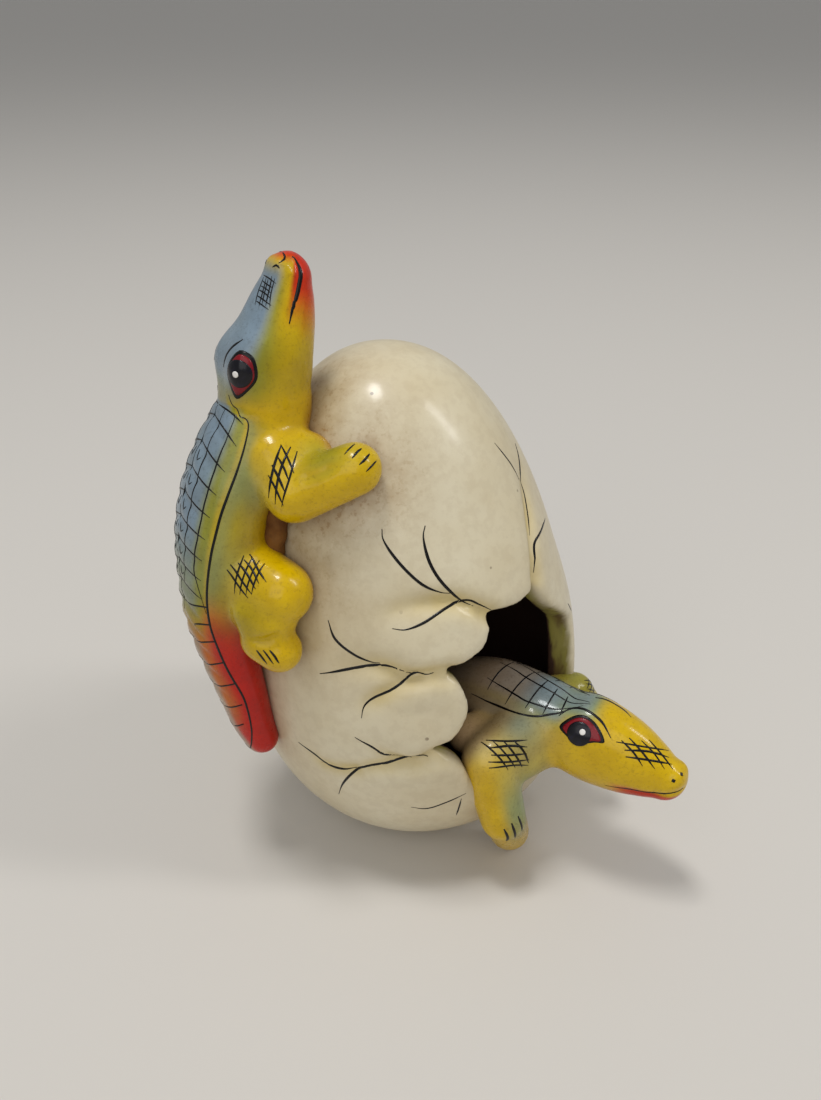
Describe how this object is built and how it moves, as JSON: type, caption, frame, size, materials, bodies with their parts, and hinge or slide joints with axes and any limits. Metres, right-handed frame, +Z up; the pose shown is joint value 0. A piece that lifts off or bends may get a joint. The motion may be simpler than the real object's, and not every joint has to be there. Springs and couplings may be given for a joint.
{
  "type": "painted clay figurine of crocodiles hatching from an egg",
  "caption": "Broken clay egg on a small flat foot, a young crocodile hatching out of it and another climbing its side.",
  "frame": {"origin": "centre of the egg's flat foot, on the surface that it stands on", "axes": "+Z up, -Y towards the front, +X to the right, towards the hatching crocodile's head"},
  "size_m": [0.1109, 0.0807, 0.141],
  "materials": {
    "eggshell": "cream slip under a soft varnish",
    "climber": "airbrushed yellow, blue and red under varnish",
    "hatchling": "airbrushed yellow and blue under varnish",
    "bare_clay": "matt fired clay"
  },
  "bodies": {
    "root": {"egg_closed_half": "eggshell", "egg_open_half": "eggshell", "shell_flap_top": "eggshell", "shell_flap_right": "eggshell", "shell_flap_upper_left": "eggshell", "shell_flap_lower_left": "eggshell", "shell_flap_bottom": "eggshell", "shell_flap_far_right": "eggshell", "climber_head": "climber", "climber_body": "climber", "climber_tail": "climber", "climber_right_arm": "climber", "climber_left_arm": "climber", "climber_right_leg": "climber", "climber_left_leg": "climber", "climber_luting_clay": "bare_clay", "hatchling_head": "hatchling", "hatchling_body": "hatchling", "hatchling_right_arm": "hatchling", "hatchling_left_arm": "hatchling", "hatchling_luting_clay": "bare_clay"}
  },
  "joints": []
}
